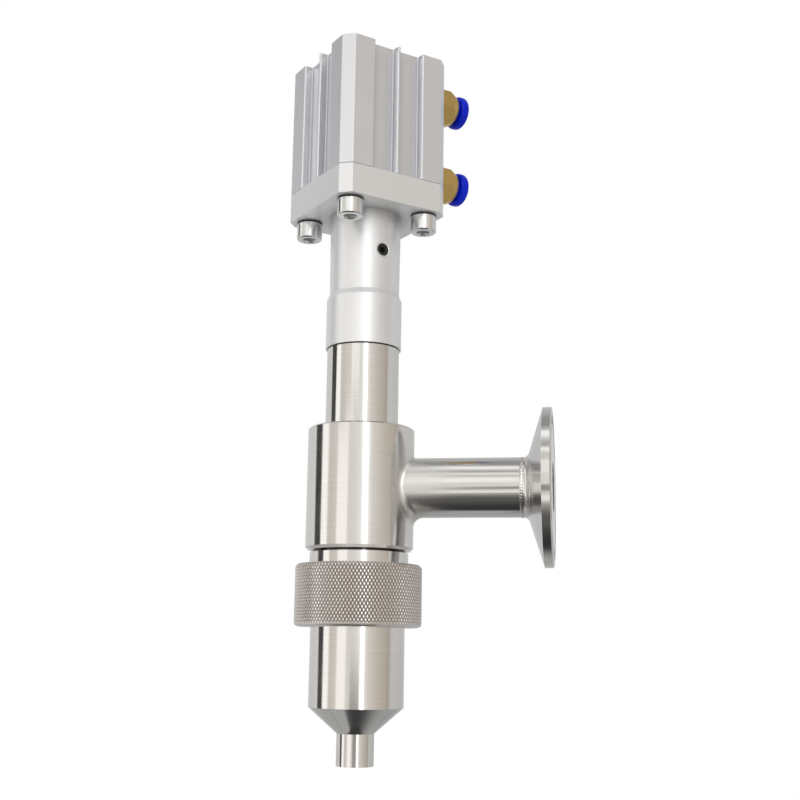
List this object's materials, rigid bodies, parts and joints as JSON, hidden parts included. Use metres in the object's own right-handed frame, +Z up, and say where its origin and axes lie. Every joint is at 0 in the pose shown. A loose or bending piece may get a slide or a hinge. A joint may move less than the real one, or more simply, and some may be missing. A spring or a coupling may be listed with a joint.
{
  "type": "anti-drip filling nozzle",
  "caption": "Filling nozzle with side inlet ferrule and an air cylinder that lifts a stem valve, which shuts at the mouth of the tip so that nothing drips.",
  "frame": {"origin": "centre of the outlet mouth, at the lowest point of the tip", "axes": "+Z up along the nozzle's axis to the air cylinder, +X along the inlet pipe out of its ferrule"},
  "size_m": [0.0878, 0.0554, 0.232],
  "materials": {
    "polished_stainless": "turned and polished",
    "knurled_stainless": "diamond knurl",
    "anodised_aluminium": "clear anodised, satin",
    "turned_aluminium": "fine turned",
    "bright_zinc": "bright zinc plated",
    "black_steel": "blackened",
    "spring_steel": "phosphated",
    "chromed_steel": "ground and chromed",
    "fitting_brass": "plain turned",
    "bush_bronze": "sintered",
    "blue_plastic": "moulded",
    "white_fluoroplastic": "machined",
    "black_rubber": "moulded"
  },
  "bodies": {
    "housing": {"tee_body": "polished_stainless", "inlet_ferrule": "polished_stainless", "upper_tube": "polished_stainless", "tube_o_ring": "black_rubber", "gland_nut": "polished_stainless", "stem_seals": "white_fluoroplastic", "gland_bush": "white_fluoroplastic", "flanged_adaptor": "turned_aluminium", "set_screw": "black_steel", "mounting_screws": "bright_zinc", "spring_washers": "black_steel", "cylinder_barrel": "anodised_aluminium", "front_cover": "turned_aluminium", "front_cover_o_ring": "black_rubber", "front_circlip": "spring_steel", "front_bumper": "black_rubber", "rod_seal": "black_rubber", "rod_bush": "bush_bronze", "rear_cover": "anodised_aluminium", "rear_cover_o_ring": "black_rubber", "rear_circlip": "spring_steel", "rear_bumper": "black_rubber", "port_washers": "white_fluoroplastic", "upper_fitting_body": "fitting_brass", "upper_collet": "spring_steel", "upper_tube_seal": "black_rubber", "lower_fitting_body": "fitting_brass", "lower_collet": "spring_steel", "lower_tube_seal": "black_rubber"},
    "valve": {"valve_stem": "polished_stainless", "seat_seal": "white_fluoroplastic", "plug_pin": "polished_stainless", "plug_o_ring": "black_rubber", "stem_lock_nut": "bright_zinc", "piston_rod": "chromed_steel", "piston": "turned_aluminium", "piston_seal": "black_rubber", "wear_ring": "white_fluoroplastic", "piston_nut": "bright_zinc"},
    "head": {"nozzle_head": "polished_stainless", "head_gasket": "white_fluoroplastic"},
    "hand_nut": {"union_nut": "knurled_stainless"},
    "upper_ring": {"upper_release_ring": "blue_plastic"},
    "lower_ring": {"lower_release_ring": "blue_plastic"}
  },
  "joints": [
    {"name": "valve_lift", "type": "slide", "parent": "housing", "child": "valve", "axis": [0, 0, 1], "range_m": [0, 0.015]},
    {"name": "head_release", "type": "slide", "parent": "housing", "child": "head", "axis": [0, 0, -1], "range_m": [0, 0.009]},
    {"name": "nut_turn", "type": "hinge", "parent": "head", "child": "hand_nut", "pos_m": [0, 0, 0.05], "axis": [0, 0, -1], "range_deg": [0, 2160]},
    {"name": "upper_ring_press", "type": "slide", "parent": "housing", "child": "upper_ring", "axis": [-0.7547, -0.6561, 0], "range_m": [0, 0.001], "stiffness_N_per_m": 250, "springref_m": -0.001},
    {"name": "lower_ring_press", "type": "slide", "parent": "housing", "child": "lower_ring", "axis": [-0.7547, -0.6561, 0], "range_m": [0, 0.001], "stiffness_N_per_m": 250, "springref_m": -0.001}
  ],
  "couplings": [
    {"joint": "nut_turn", "follows": "head_release", "rad_per_m": 4188.8}
  ]
}
